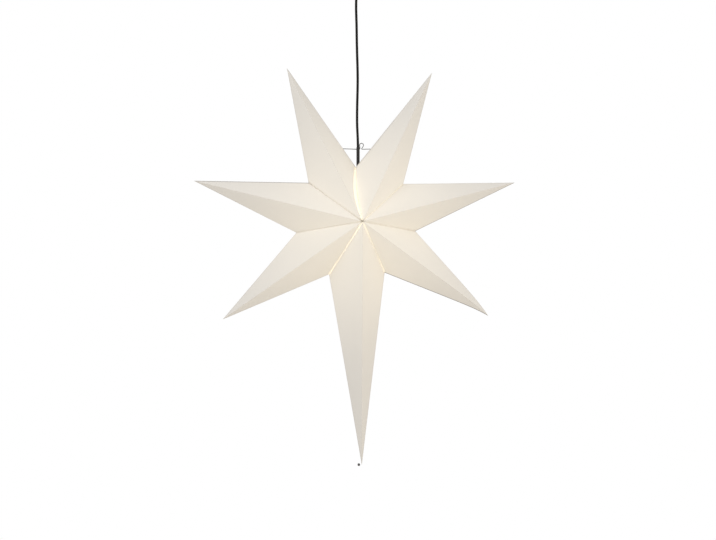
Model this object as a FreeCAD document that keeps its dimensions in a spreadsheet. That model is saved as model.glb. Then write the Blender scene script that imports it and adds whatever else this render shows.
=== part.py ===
"""Folded paper star pendant: seven creased card points on a wire hanger, a small
screw lamp holder with its bulb, a cord and a ceiling fitting.

Millimetres, +Z up. The origin is on the ceiling, in the middle of the fitting's top
face. The star hangs below it, faces -Y and has its seam at the top.
"""
import FreeCAD
import Part
import Sketcher
import math
import os

Vector = FreeCAD.Vector

# Driving dimensions: alias and value (mm, or degrees where the name says angle or lean).
DIMENSIONS = (
    ("star_drop", 540.0),             # ceiling to the star's centre
    ("point_reach", 330.0),           # star's centre to a short point's tip
    ("long_reach", 500.0),            # star's centre to the long point's tip
    ("valley_radius", 122.0),         # star's centre to the outer end of a valley
    ("seam_radius", 110.0),           # the same at the open seam, whose corners are trimmed
    ("half_depth", 80.0),             # star's mid plane to the front and back peaks
    ("long_angle", 59.5),             # angle that the long point takes up at the centre
    ("top_lean", 1.5),                # top points lean this much towards the seam
    ("seam_gap", 9.0),                # gap between the seam's two corners
    ("card_thickness", 0.5),
    ("flange_width", 8.0),            # glue flange along each valley edge
    ("flange_start", 14.0),           # flanges stop this far from the peaks
    ("hanger_height", 145.0),         # star's centre to the hanger wire
    ("wire_diameter", 1.6),
    ("wire_offset", 4.6),             # the hanger's eye behind the cord's axis
    ("hook_inset", 5.0),              # hook of the hanger, inside the top points' folds
    ("hook_drop", 7.0),
    ("eye_radius", 3.9),
    ("eye_side", 7.6),                # middle of the hanger's eye, sideways and up
    ("eye_rise", 8.0),
    ("eye_foot", 4.5),
    ("eye_neck", 2.6),
    ("wire_play", 0.3),               # wire in the clip's ear and in the card's holes
    ("eyelet_radius", 3.6),
    ("eyelet_thickness", 0.4),
    ("bead_radius", 2.8),
    ("cord_diameter", 5.0),
    ("core_diameter", 2.0),
    ("core_spacing", 2.3),
    ("cord_play", 0.3),               # cord turning in the clip's mouth and the gland's bore
    ("grip_play", 0.1),               # parts that hold each other
    ("clip_diameter", 6.6),
    ("clip_length", 38.0),
    ("clip_rise", 3.0),               # clip's top above the hanger wire
    ("clip_mouth", 6.0),              # depth of the clip's wide mouth
    ("ear_width", 4.0),
    ("bulb_radius", 22.5),
    ("bulb_drop", 18.0),              # star's centre to the globe's centre
    ("bulb_neck_radius", 7.6),
    ("bulb_shoulder_radius", 20.0),
    ("glass_thickness", 0.8),
    ("cap_radius", 6.9),              # bulb's screw cap
    ("cap_length", 20.0),
    ("cap_wall", 0.3),
    ("contact_radius", 2.2),
    ("stem_length", 13.0),
    ("filament_length", 20.0),
    ("filament_radius", 0.75),
    ("holder_radius", 14.0),
    ("holder_wall", 1.8),
    ("holder_neck_radius", 5.5),
    ("holder_neck_length", 8.0),
    ("holder_cap_skirt", 13.5),
    ("skirt_length", 22.8),
    ("skirt_mouth_radius", 12.5),
    ("spigot_length", 8.0),
    ("joint_play", 0.2),              # between the holder's moulded pieces
    ("insert_thickness", 4.6),
    ("sleeve_length", 17.6),
    ("sleeve_wall", 0.6),
    ("canopy_radius", 48.0),
    ("canopy_skirt", 22.0),
    ("canopy_flat_radius", 14.0),
    ("canopy_wall", 2.0),
    ("gland_radius", 8.0),
    ("gland_collar", 9.0),
    ("gland_nose_length", 12.0),
    ("gland_nose_radius", 5.2),
    ("gland_stem_radius", 4.9),
    ("gland_stem_length", 12.0),
    ("gland_flare", 3.8),             # radius of the mouth that lets the cord lean
    ("flare_length", 3.0),
    ("washer_thickness", 1.0),
    ("nut_flats", 14.0),
    ("nut_thickness", 4.0),
    ("grip_screw_radius", 1.9),
    ("bracket_width", 16.0),
    ("bracket_thickness", 1.5),
    ("bracket_play", 1.0),
    ("bracket_tab", 14.0),
    ("slot_spacing", 54.0),
    ("slot_length", 10.0),
    ("slot_width", 4.5),
    ("side_screw_drop", 9.0),
    ("side_screw_radius", 1.4),
    ("block_width", 20.0),
    ("block_depth", 17.0),
    ("block_height", 8.0),
    ("pole_spacing", 10.0),
    ("tower_radius", 3.2),
    ("tower_height", 4.5),
    ("tube_radius", 2.1),
    ("tube_bore", 1.4),
    ("clamp_screw_radius", 1.4),
)

# The free cord's route from the gland down to the clip: sideways and front-to-back
# places of its hand-chosen points, and how far down the cord each one is (0 to 1).
CORD_ROUTE = (
    (0.0, 0.0, 0.000),
    (-1.2, 0.0, 0.085),
    (-3.1, 0.5, 0.225),
    (-1.6, -0.6, 0.395),
    (0.3, 0.4, 0.565),
    (-1.1, -0.3, 0.715),
    (0.0, 0.0, 0.865),
    (0.0, 0.0, 1.000),
)


class Size:
    """A size of the sheet, or a sum of them: its formula and its number together."""

    def __init__(self, text, number):
        self.text = text
        self.number = number

    def join(self, sign, other, number):
        text = other.text if isinstance(other, Size) else repr(other)
        return Size(f"({self.text} {sign} {text})", number)

    def __add__(self, other):
        return self.join("+", other, self.number + number_of(other))

    def __sub__(self, other):
        return self.join("-", other, self.number - number_of(other))

    def __mul__(self, other):
        return self.join("*", other, self.number * number_of(other))

    def __truediv__(self, other):
        return self.join("/", other, self.number / number_of(other))

    def __neg__(self):
        return self * -1.0

    def root(self):
        return Size(f"sqrt({self.text})", math.sqrt(self.number))


def number_of(item):
    """The plain number of a Size, or the number itself."""
    return item.number if isinstance(item, Size) else item


class Sheet:
    """The document's sheet of driving dimensions, read by name."""

    def __init__(self, document):
        cells = document.addObject("Spreadsheet::Sheet", "dims")
        for row, (alias, value) in enumerate(DIMENSIONS, start=1):
            cells.set(f"A{row}", alias)
            cells.set(f"B{row}", str(value))
            cells.setAlias(f"B{row}", alias)
        document.recompute()
        self.cells = cells

    def __getattr__(self, alias):
        return Size(f"dims.{alias}", float(self.cells.get(alias)))


document = FreeCAD.newDocument("paper_star")
size = Sheet(document)
nodes = {}


# ---------------------------------------------------------------- building helpers


def bind(item, **formulas):
    """Bind properties of a document object to the sheet; a place is x, y or z."""
    for name, formula in formulas.items():
        target = f"Placement.Base.{name}" if name in ("x", "y", "z") else name
        if isinstance(formula, Size):
            item.setExpression(target, formula.text)
        elif formula:
            item.setExpression(target, repr(formula))
    return item


def keep(label, item):
    """Name a finished sub-part and remember it for export."""
    item.Label = label
    nodes[label] = item
    return item


def rod(name, radius, length, x=0.0, y=0.0, z=0.0, along=None):
    """A cylinder from (x, y, z), upwards or along the given direction."""
    item = document.addObject("Part::Cylinder", name)
    if along is not None:
        item.Placement.Rotation = FreeCAD.Rotation(Vector(0, 0, 1), along)
    return bind(item, Radius=radius, Height=length, x=x, y=y, z=z)


def block(name, length, width, height, x=0.0, y=0.0, z=0.0):
    """A box centred on (x, y), standing on z."""
    item = document.addObject("Part::Box", name)
    bind(item, Length=length, Width=width, Height=height)
    return bind(item, x=-length / 2 + x, y=-width / 2 + y, z=z)


def fused(name, parts):
    item = document.addObject("Part::MultiFuse", name)
    item.Shapes = parts
    return item


def cut(name, base, tool):
    item = document.addObject("Part::Cut", name)
    item.Base = base
    item.Tool = tool
    return item


def solid(name, shape):
    """A document object around a shape made by functions."""
    item = document.addObject("Part::Feature", name)
    item.Shape = shape
    return item


def origin_plane(body, role):
    return next(plane for plane in body.Origin.OriginFeatures if plane.Role == role)


def arc_between(start, end, radius, side):
    """An arc of the given radius; side +1 bulges to the left of the way it runs."""
    chord = end - start
    half = chord.Length / 2
    rise = radius - math.sqrt(max(radius * radius - half * half, 0.0))
    left = Vector(-chord.y, chord.x, 0).normalize()
    return Part.Arc(start, (start + end) / 2 + left * (rise * side), end)


def profile_sketch(body, label, corners):
    """A closed outline on the body's XZ plane, every corner bound to the sheet.

    A corner is (across, up), with (radius, side) added where an arc leads to it.
    """
    sketch = body.newObject("Sketcher::SketchObject", label)
    sketch.AttachmentSupport = (origin_plane(body, "XZ_Plane"), [""])
    sketch.MapMode = "FlatFace"
    places = [Vector(number_of(corner[0]), number_of(corner[1]), 0) for corner in corners]
    for index, corner in enumerate(corners):
        start = places[index - 1]
        end = places[index]
        if len(corner) == 4:
            sketch.addGeometry(arc_between(start, end, number_of(corner[2]), corner[3]))
        else:
            sketch.addGeometry(Part.LineSegment(start, end))
    for index, corner in enumerate(corners):
        after = (index + 1) % len(corners)
        point = end_at(sketch, index, places[index])
        other = end_at(sketch, after, places[index])
        sketch.addConstraint(Sketcher.Constraint("Coincident", index, point, after, other))
        fix_place(sketch, index, point, corner)
        if len(corner) == 4:
            number = sketch.addConstraint(Sketcher.Constraint("Radius", index, number_of(corner[2])))
            sketch.setExpression(f"Constraints[{number}]", corner[2].text)
    return sketch


def end_at(sketch, index, place):
    """Which end of an edge lies on a place: 1 for its start, 2 for its end."""
    return 1 if (sketch.getPoint(index, 1) - place).Length < 1e-6 else 2


def fix_place(sketch, index, point, corner):
    """Hold one corner at its distances from the sketch's origin."""
    for kind, item in (("DistanceX", corner[0]), ("DistanceY", corner[1])):
        number = sketch.addConstraint(
            Sketcher.Constraint(kind, -1, 1, index, point, number_of(item)))
        if isinstance(item, Size):
            sketch.setExpression(f"Constraints[{number}]", item.text)


def turned(label, corners, z=0.0):
    """A body turned about Z from a closed outline of (radius, height) corners."""
    body = document.addObject("PartDesign::Body", label)
    sketch = profile_sketch(body, label + "_outline", corners)
    turning = body.newObject("PartDesign::Revolution", label + "_turning")
    turning.Profile = sketch
    turning.ReferenceAxis = (sketch, ["V_Axis"])
    turning.Angle = 360.0
    return bind(body, z=z)


def padded(label, corners, width, z=0.0):
    """A body of even width along Y from a closed outline on the XZ plane."""
    body = document.addObject("PartDesign::Body", label)
    sketch = profile_sketch(body, label + "_outline", corners)
    pad = body.newObject("PartDesign::Pad", label + "_pad")
    pad.Profile = sketch
    pad.Midplane = True
    bind(pad, Length=width)
    return bind(body, z=z)


def rounded_path(points, radii):
    """Straight runs joined by tangent arcs; radii has one radius per inner point."""
    edges = []
    start = points[0]
    for before, corner, after, radius in zip(points, points[1:], points[2:], radii):
        back = (before - corner).normalize()
        ahead = (after - corner).normalize()
        turn = math.pi - back.getAngle(ahead)
        setback = radius * math.tan(turn / 2)
        first = corner + back * setback
        last = corner + ahead * setback
        middle = (back + ahead).normalize()
        centre = corner + middle * (radius / math.cos(turn / 2))
        edges.append(Part.LineSegment(start, first).toShape())
        edges.append(Part.Arc(first, centre - middle * radius, last).toShape())
        start = last
    edges.append(Part.LineSegment(start, points[-1]).toShape())
    return Part.Wire(edges)


def tube(path, radius):
    """A round bar along a path of lines and tangent arcs."""
    first = path.OrderedEdges[0]
    start = first.valueAt(first.FirstParameter)
    heading = first.tangentAt(first.FirstParameter)
    ring = Part.Wire(Part.makeCircle(radius, start, heading))
    return path.makePipeShell([ring], True, False)


# ---------------------------------------------------------------- the paper star


def star_angles():
    """Half the seam's angle and the angle of a short point, in degrees."""
    seam = math.degrees(math.asin(size.seam_gap.number / 2 / size.seam_radius.number))
    return seam, (360.0 - 2 * seam - size.long_angle.number) / 6


def around(angle, radius):
    """A place in the star's mid plane, by the angle from straight up towards +X."""
    turn = math.radians(angle)
    centre = Vector(0, 0, -size.star_drop.number)
    return centre + Vector(math.sin(turn), 0, math.cos(turn)) * radius


def faceted(faces):
    """A solid from flat faces given as lists of corners."""
    shell = Part.Shell([Part.Face(Part.makePolygon(face + face[:1])) for face in faces])
    body = Part.Solid(shell)
    if body.Volume < 0:
        body.reverse()
    return body


def point_wedge(tip, left, right):
    """The full body of one point, between its four panels and its two valleys."""
    depth = Vector(0, size.half_depth.number, 0)
    front = around(0, 0) - depth
    back = around(0, 0) + depth
    return faceted([
        [front, tip, left],
        [front, right, tip],
        [back, left, tip],
        [back, tip, right],
        [front, left, back],
        [front, back, right],
    ])


def point_shell(wedge, tip, left):
    """The card of one point: its body less the same body drawn back from the tip."""
    front = around(0, 0) - Vector(0, size.half_depth.number, 0)
    normal = (tip - front).cross(left - front).normalize()
    outward = (tip - around(0, 0)).normalize()
    drawn_back = size.card_thickness.number / abs(normal.dot(outward))
    inside = wedge.copy()
    inside.translate(outward * -drawn_back)
    return wedge.cut(inside)


def glue_flange(wedge, corner, inward):
    """The strip of card folded in along both edges of one valley."""
    depth = size.half_depth.number
    reach = (corner - around(0, 0)).Length
    out = (corner - around(0, 0)).normalize()
    slant = math.hypot(reach, depth)
    width = size.flange_width.number
    start = size.flange_start.number
    chamfer = start + width

    def place(along, y):
        return around(0, 0) + out * along + Vector(0, y, 0)

    outer = depth * (1 - start / reach)
    inner = depth * (1 - chamfer / reach) - width * slant / reach
    outline = [
        place(start, -outer),
        place(reach, 0),
        place(start, outer),
        place(chamfer, inner),
        place(reach - width * slant / depth, 0),
        place(chamfer, -inner),
    ]
    strip = Part.Face(Part.makePolygon(outline + outline[:1]))
    return strip.extrude(inward * size.card_thickness.number).common(wedge)


def paper_point(direction, tip_direction, reach, left_angle, right_angle, left_radius, right_radius):
    """One card point: four panels open to the star's middle, and its glue flanges."""
    tip = around(tip_direction, reach)
    left = around(left_angle, left_radius)
    right = around(right_angle, right_radius)
    wedge = point_wedge(tip, left, right)
    shell = point_shell(wedge, tip, left)
    if left_radius != right_radius:
        shell = shell.fuse(point_shell(wedge, tip, right)).common(wedge)
    sideways = around(direction + 90, 1) - around(0, 0)
    flanges = []
    for corner in (left, right):
        out = (corner - around(0, 0)).normalize()
        inward = Vector(out.z, 0, -out.x)
        if inward.dot(sideways) * (1 if corner is left else -1) < 0:
            inward = inward * -1
        flanges.append(glue_flange(wedge, corner, inward))
    return shell.multiFuse(flanges).removeSplitter()


def hanger_axis():
    """The line through the hanger's two arms, about which the star rocks."""
    return Vector(0, 0, size.hanger_height.number - size.star_drop.number)


def seam_fold(side):
    """The fold of a top point next to the seam: its corner and the point's tip."""
    seam, width = star_angles()
    tip_angle = seam + width / 2 - size.top_lean.number
    corner = around(side * seam, size.seam_radius.number)
    return corner, around(side * tip_angle, size.point_reach.number)


def hanger_entry(side):
    """Where a hanger arm goes in through the fold of a top point."""
    corner, tip = seam_fold(side)
    share = (hanger_axis().z - corner.z) / (tip.z - corner.z)
    return corner + (tip - corner) * share


def hanger_hole():
    """The tool that opens the two top points for the hanger's arms."""
    radius = size.wire_diameter.number / 2 + size.wire_play.number
    half = hanger_entry(1).x + size.hook_inset.number + radius
    start = hanger_axis() - Vector(half, 0, 0)
    return Part.makeCylinder(radius, half * 2, start, Vector(1, 0, 0))


def eyelet(side):
    """A ring folded over the card's edge where a hanger arm goes in."""
    corner, tip = seam_fold(side)
    depth = Vector(0, size.half_depth.number, 0)
    front = around(0, 0) - depth
    back = around(0, 0) + depth
    card = faceted([
        [front, tip, corner],
        [back, corner, tip],
        [front, corner, back],
        [front, back, tip],
    ])
    along = (tip - corner).normalize()
    outward = Vector(-along.z, 0, along.x) * side
    panel = (tip - front).cross(corner - front).normalize()
    cover = card.copy()
    cover.translate(outward * (size.eyelet_thickness.number / abs(panel.dot(outward))))
    radius = size.eyelet_radius.number
    punch = Part.makeCylinder(radius, radius * 3, hanger_entry(side) - outward * (radius * 2), outward)
    return cover.cut(card).common(punch).cut(hanger_hole())


def make_star():
    """The seven points, numbered clockwise from the seam as the viewer sees them."""
    seam, width = star_angles()
    lean = size.top_lean.number
    short = size.point_reach.number
    valley = size.valley_radius.number
    at_seam = size.seam_radius.number
    edges = [seam + width * step for step in range(4)]
    names = ("point_top_right", "point_right", "point_lower_right")
    mirrored = ("point_top_left", "point_left", "point_lower_left")
    hole = hanger_hole()
    for step in range(3):
        first = at_seam if step == 0 else valley
        middle = (edges[step] + edges[step + 1]) / 2
        tip = middle - (lean if step == 0 else 0)
        card = paper_point(middle, tip, short, edges[step], edges[step + 1], first, valley)
        other = paper_point(-middle, -tip, short, -edges[step + 1], -edges[step], valley, first)
        if step == 0:
            card = card.cut(hole)
            other = other.cut(hole)
        keep(names[step], solid("card", card))
        keep(mirrored[step], solid("card", other))
    reach = size.long_reach.number
    long_card = paper_point(180, 180, reach, edges[3], -edges[3], valley, valley)
    keep("point_long_bottom", solid("card", long_card))
    keep("hanger_eyelets", solid("eyelets", Part.makeCompound([eyelet(-1), eyelet(1)])))


def make_bead():
    """The bead on the long point's tip, with the cone that the tip stands in."""
    reach = size.long_reach
    ball = document.addObject("Part::Sphere", "bead_ball")
    bind(ball, Radius=size.bead_radius, z=-size.star_drop - reach + size.bead_radius / 2)
    socket = document.addObject("Part::Cone", "bead_socket")
    spread = size.half_depth / reach * 1.6
    depth = size.bead_radius * 2.5
    bind(socket, Radius1=0.02, Radius2=depth * spread, Height=depth)
    bind(socket, z=-size.star_drop - reach - size.grip_play * 6)
    keep("tip_bead", cut("bead", ball, socket))


# ---------------------------------------------------------------- hanger and cord


def make_hanger():
    """The wire hanger: an eye behind the cord and two arms that bend forward and hook in."""
    axis = hanger_axis()
    drop = Vector(0, 0, -size.hook_drop.number)
    wire = size.wire_diameter.number
    ring = size.eye_radius.number
    entry = hanger_entry(1).x
    arm = Vector(entry + size.hook_inset.number, 0, 0)
    elbow = Vector(entry * 0.8, 0, 0)
    middle = axis + Vector(0, size.wire_offset.number, 0)
    centre = middle + Vector(size.eye_side.number, 0, size.eye_rise.number)
    start = middle - Vector(size.ear_width.number / 2 + wire * 1.5, 0, 0)
    foot = middle + Vector(size.eye_foot.number, 0, 0)
    heel = foot + Vector(size.eye_neck.number, 0, 0)

    def touch(place, side):
        """Where the straight from a foot meets the eye's ring."""
        towards = place - centre
        lean = math.acos(ring / towards.Length) * side
        turn = math.atan2(towards.z, towards.x) + lean
        return centre + Vector(math.cos(turn), 0, math.sin(turn)) * ring

    bend = wire * 1.1
    left = rounded_path(
        [axis - arm + drop, axis - arm, axis - elbow, start, foot, touch(foot, -1)],
        [bend, bend * 2, bend * 2, bend])
    right = rounded_path(
        [touch(heel, 1), heel, axis + elbow, axis + arm, axis + arm + drop],
        [bend * 0.6, bend * 2, bend])
    top = Part.Arc(touch(foot, -1), centre + Vector(0, 0, ring), touch(heel, 1)).toShape()
    path = Part.Wire(left.OrderedEdges + [top] + right.OrderedEdges)
    keep("hanger_wire", solid("hanger", tube(path, wire / 2)))


def make_clip():
    """The sleeve on the cord whose rear ear carries the hanger wire."""
    top = size.hanger_height - size.star_drop + size.clip_rise
    radius = size.clip_diameter / 2
    ear_depth = size.wire_offset + size.wire_diameter / 2 + size.wire_play * 4
    barrel = rod("clip_barrel", radius, size.clip_length, z=top - size.clip_length)
    ear = block("clip_ear", size.ear_width, ear_depth, size.clip_rise * 2,
                y=ear_depth / 2, z=top - size.clip_rise * 2)
    mouth = rod("clip_mouth", size.cord_diameter / 2 + size.cord_play, size.clip_mouth + 1,
                z=top - size.clip_mouth)
    bore = rod("clip_bore", size.cord_diameter / 2 + size.grip_play, size.clip_length + 2,
               z=top - size.clip_length - 1)
    hole = rod("clip_wire_hole", size.wire_diameter / 2 + size.wire_play, size.ear_width + 2,
               x=-size.ear_width / 2 - 1, y=size.wire_offset, z=top - size.clip_rise,
               along=Vector(1, 0, 0))
    holes = fused("clip_holes", [mouth, bore, hole])
    keep("cord_clip", cut("clip", fused("clip_body", [barrel, ear]), holes))


def pivot_height():
    """Height of the point about which the cord leans, inside the gland's flared mouth."""
    nose = size.canopy_skirt + size.canopy_radius - size.canopy_flat_radius
    nose = nose + size.washer_thickness + size.gland_collar + size.gland_nose_length
    return -nose + size.flare_length * 0.7


def cord_points():
    """The free cord's route, from the gland's pivot to the clip's mouth."""
    top = pivot_height().number
    bottom = size.hanger_height.number - size.star_drop.number
    bottom += size.clip_rise.number - size.clip_mouth.number
    return [Vector(x, y, top + (bottom - top) * share) for x, y, share in CORD_ROUTE]


def make_cord():
    """The free cord: straight runs and tangent arcs, round at its pivot end."""
    points = cord_points()
    radius = size.cord_diameter.number / 2
    radii = []
    for before, corner, after in zip(points, points[1:], points[2:]):
        shorter = min((corner - before).Length, (after - corner).Length)
        turn = (corner - before).getAngle(after - corner)
        radii.append(0.45 * shorter / math.tan(turn / 2))
    path = rounded_path(points, radii)
    cord = tube(path, radius)
    print("cord length %.1f, smallest bend %.0f, volume %.0f for %.0f" % (
        path.Length, min(radii), cord.Volume, math.pi * radius ** 2 * path.Length))
    cord = cord.fuse(Part.makeSphere(radius, points[0])).removeSplitter()
    keep("cord", solid("cord_solid", cord))


def make_cord_lead():
    """The cord's short lead from the clip down to the lamp holder, and its cores."""
    bottom = holder_top() - size.holder_neck_length - 1
    top = size.hanger_height - size.star_drop + size.clip_rise - size.clip_mouth
    keep("cord_lead", rod("lead", size.cord_diameter / 2, top - bottom, z=bottom))
    make_holder_cores(bottom)


# ---------------------------------------------------------------- lamp holder and bulb


def bulb_centre():
    return -size.star_drop - size.bulb_drop


def bulb_neck_height():
    """Where the globe's shoulder meets its straight neck, above the globe's centre."""
    reach = size.bulb_radius + size.bulb_shoulder_radius
    across = size.bulb_neck_radius + size.bulb_shoulder_radius
    return (reach * reach - across * across).root()


def cap_foot():
    """Height of the lower edge of the bulb's screw cap."""
    return bulb_centre() + bulb_neck_height() + 1


def insert_height():
    """Height of the underside of the holder's insert, clear of the bulb's contact."""
    return cap_foot() + size.cap_length + 7


def holder_joint():
    """Height of the line where the holder's cap meets its skirt."""
    return insert_height() + 2.3 - size.spigot_length


def holder_top():
    dome = size.holder_radius - size.holder_neck_radius
    return holder_joint() + size.holder_cap_skirt + dome + size.holder_neck_length


def make_holder_cap():
    """The holder's domed cap with the neck that takes the cord."""
    outer = size.holder_radius
    neck = size.holder_neck_radius
    wall = size.holder_wall
    skirt = size.holder_cap_skirt
    dome = outer - neck
    bore = size.cord_diameter / 2 + size.grip_play
    shoulder = skirt + dome
    body = turned("holder_cap_turned", [
        (bore, shoulder + size.holder_neck_length),
        (bore, shoulder - wall),
        (neck, shoulder - wall),
        (outer - wall, skirt, dome - wall, 1),
        (outer - wall, 0.0),
        (outer, 0.0),
        (outer, skirt),
        (neck, shoulder, dome, -1),
        (neck, shoulder + size.holder_neck_length),
    ], z=holder_joint())
    hole = rod("holder_screw_hole", size.grip_screw_radius + size.grip_play, neck + 2,
               z=holder_top() - size.holder_neck_length / 2, along=Vector(1, 0, 0))
    keep("holder_cap", cut("holder_cap_cut", body, hole))
    grip_screw("holder_grip_screw", neck + 1.5, holder_top() - size.holder_neck_length / 2)


def grip_screw(label, reach, height):
    """A slotted nylon screw that presses on the cord from +X."""
    start = size.cord_diameter / 2 + size.grip_play
    shank = rod(label + "_shank", size.grip_screw_radius, reach - start, x=start, z=height,
                along=Vector(1, 0, 0))
    slot = block(label + "_slot", size.grip_screw_radius / 2, size.grip_screw_radius * 3,
                 size.grip_screw_radius / 3, x=reach, z=height - size.grip_screw_radius / 6)
    keep(label, cut(label + "_cut", shank, slot))


def make_holder_skirt():
    """The holder's skirt: a tapered mouth and the spigot that screws into the cap."""
    outer = size.holder_radius
    wall = size.holder_wall
    spigot = outer - wall - size.joint_play
    length = size.skirt_length
    mouth = size.skirt_mouth_radius
    body = turned("holder_skirt", [
        (mouth - wall, -length),
        (mouth, -length),
        (outer, -0.2),
        (spigot, -0.2),
        (spigot, size.spigot_length),
        (spigot - wall, size.spigot_length),
        (spigot - wall, -wall * 2),
    ], z=holder_joint())
    keep("holder_skirt", body)


def make_holder_insert():
    """The insert that carries the contacts, seated on the skirt's spigot."""
    outer = size.holder_radius - size.holder_wall - size.joint_play * 2
    inner = outer - size.holder_wall - size.joint_play
    step = holder_joint() + size.spigot_length - insert_height()
    body = turned("insert_turned", [
        (0.0, 0.0),
        (inner, 0.0),
        (inner, step),
        (outer, step),
        (outer, step + size.insert_thickness),
        (0.0, step + size.insert_thickness),
    ], z=insert_height())
    top = insert_height() + step + size.insert_thickness
    holes = []
    screws = []
    for side in (-1, 1):
        place = size.holder_radius * (0.53 * side)
        name = f"holder_terminal_{side + 1}"
        holes.append(rod(name + "_hole", size.clamp_screw_radius + size.grip_play, 4.5,
                         x=place, z=top - 4))
        shank = rod(name + "_shank", size.clamp_screw_radius, 4.5, x=place, z=top - 3.8)
        head = rod(name + "_head", size.clamp_screw_radius * 1.6, 1.2, x=place, z=top + 0.1)
        screws.append(fused(name, [shank, head]))
    keep("holder_insert", cut("insert_cut", body, fused("insert_holes", holes)))
    pair = document.addObject("Part::Compound", "holder_screw_pair")
    pair.Links = screws
    keep("holder_terminal_screws", pair)


def make_holder_contacts():
    """The threaded sleeve for the bulb and the centre contact's spring leaf."""
    inner = size.cap_radius + size.cord_play
    outer = inner + size.sleeve_wall
    length = size.sleeve_length
    body = turned("screw_sleeve", [
        (inner, -length),
        (outer, -length),
        (outer, -size.sleeve_wall),
        (outer + 1, -size.sleeve_wall),
        (outer + 1, 0.0),
        (inner, 0.0),
    ], z=insert_height())
    keep("holder_screw_sleeve", body)
    leaf = padded("centre_leaf", [
        (-5.2, -0.4),
        (-1.6, -0.4),
        (0.6, -2.8),
        (3.0, -2.8),
        (3.0, -2.4),
        (0.8, -2.4),
        (-1.4, 0.0),
        (-5.2, 0.0),
    ], size.contact_radius * 2, z=insert_height())
    keep("holder_centre_contact", leaf)


def make_holder_cores(sheath_end):
    """The two cores from the sheath's end to the holder's terminal screws."""
    radius = size.core_diameter.number / 2
    half = size.core_spacing.number / 2
    top = sheath_end.number
    step = holder_joint() + size.spigot_length + size.insert_thickness
    floor = step.number + radius + 0.15
    head = size.holder_radius.number * 0.53 - size.clamp_screw_radius.number * 1.6
    for side, label in ((-1, "holder_neutral_core"), (1, "holder_live_core")):
        points = [
            Vector(side * half, 0, top),
            Vector(side * half, 0, floor),
            Vector(side * head, 0, floor),
        ]
        keep(label, solid("core", tube(rounded_path(points, [radius * 1.7]), radius)))


def make_bulb():
    """The bulb: globe, stem with its filaments, screw cap, insulator and contact."""
    ball = size.bulb_radius
    shoulder = size.bulb_shoulder_radius
    neck = size.bulb_neck_radius
    glass = size.glass_thickness
    rise = bulb_neck_height()
    share = ball / (ball + shoulder)
    inner_share = (ball - glass) / (ball + shoulder)
    meet = ((neck + shoulder) * share, rise * share)
    inner_meet = ((neck + shoulder) * inner_share, rise * inner_share)
    globe = turned("bulb_globe", [
        (0.0, -ball),
        (meet[0], meet[1], ball, -1),
        (neck, rise, shoulder, 1),
        (neck, rise + 1),
        (neck - glass, rise + 1),
        (neck - glass, rise),
        (inner_meet[0], inner_meet[1], shoulder + glass, -1),
        (0.0, -ball + glass, ball - glass, 1),
    ], z=bulb_centre())
    keep("bulb_globe", globe)
    make_bulb_cap()
    make_bulb_inside()


def make_bulb_cap():
    outer = size.cap_radius
    inner = outer - size.cap_wall
    length = size.cap_length
    rim = size.bulb_neck_radius
    cap = turned("bulb_screw_cap", [
        (rim - 0.8, 0.1),
        (rim, 0.1),
        (rim, 1.0),
        (outer, 2.6),
        (outer, length),
        (outer - 1.6, length + 1.2),
        (outer - 1.9, length + 1.2),
        (inner, length - 0.1),
        (inner, 2.7),
        (rim - 0.8, 1.1),
    ], z=cap_foot())
    keep("bulb_screw_cap", cap)
    insulator = turned("bulb_insulator", [
        (0.0, length + 1.3),
        (outer - 1.7, length + 1.3),
        (size.contact_radius + 0.6, length + 3.2),
        (0.0, length + 3.2),
    ], z=cap_foot())
    keep("bulb_insulator", insulator)
    button = turned("bulb_contact", [
        (0.0, length + 3.2),
        (size.contact_radius, length + 3.2),
        (size.contact_radius * 0.7, length + 3.9),
        (0.0, length + 3.9),
    ], z=cap_foot())
    keep("bulb_contact", button)


def make_bulb_inside():
    """The glass stem that stands on the neck, and four filaments under their holder disc."""
    neck = size.bulb_neck_radius - size.glass_thickness
    foot = bulb_neck_height() - 1
    stem = turned("bulb_stem", [
        (0.0, foot),
        (neck - 0.1, foot),
        (neck - 0.1, foot - 0.8),
        (neck / 2.6, foot - 3.2),
        (neck / 3.4, foot - size.stem_length),
        (0.0, foot - size.stem_length),
    ], z=bulb_centre())
    keep("bulb_stem", stem)
    top = bulb_centre() + foot - size.stem_length
    ring = size.filament_radius * 4.2
    sticks = [rod("filament_hub", ring + size.filament_radius / 2, 0.8, z=top - 0.9)]
    for turn in range(4):
        angle = math.radians(45 + 90 * turn)
        sticks.append(rod(f"filament_{turn}", size.filament_radius, size.filament_length,
                          x=ring * math.cos(angle), y=ring * math.sin(angle),
                          z=top - 0.5 - size.filament_length))
    keep("bulb_filaments", fused("filament_group", sticks))


# ---------------------------------------------------------------- ceiling fitting


def canopy_floor():
    """Height of the canopy's flat underside."""
    return -(size.canopy_skirt + size.canopy_radius - size.canopy_flat_radius)


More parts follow.
